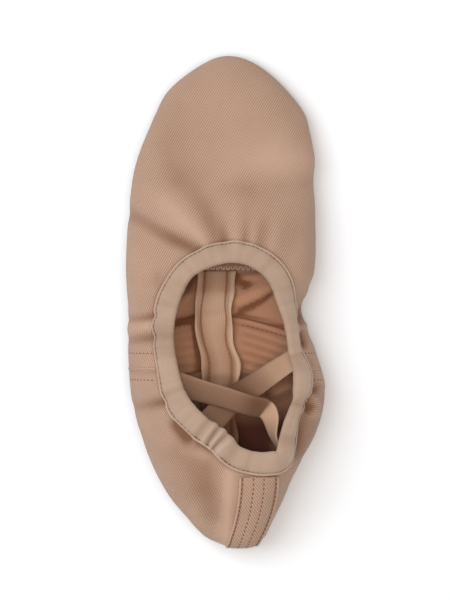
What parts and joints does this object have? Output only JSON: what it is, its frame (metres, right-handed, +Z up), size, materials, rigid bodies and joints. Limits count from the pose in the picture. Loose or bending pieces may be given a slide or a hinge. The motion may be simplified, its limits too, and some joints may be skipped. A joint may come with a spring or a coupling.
{
  "type": "split-sole ballet slipper",
  "caption": "Soft canvas ballet slipper with a bound oval collar, crossing elastics inside it, a pleated toe and separate suede patches under forefoot and heel.",
  "frame": {"origin": "on the floor, under the middle of the slipper's plan", "axes": "+Y from heel to toe, +X to the right seen from above with the toe pointing away, +Z up"},
  "size_m": [0.093, 0.2314, 0.0438],
  "materials": {
    "canvas": "fine stretch twill, matt",
    "binding": "soft smooth tape, matt",
    "suede": "napped suede",
    "sock": "thin cotton sock lining",
    "tape": "sewn twill seam strip",
    "elastic": "ribbed flat elastic"
  },
  "bodies": {
    "root": {"upper": "canvas", "collar_binding": "binding", "sole_forefoot": "suede", "sole_heel": "suede", "insole_forefoot": "sock", "seam_tape_centre": "tape", "seam_tape_cross": "tape", "back_strip": "canvas", "elastic_over": "elastic", "elastic_under": "elastic"}
  },
  "joints": []
}
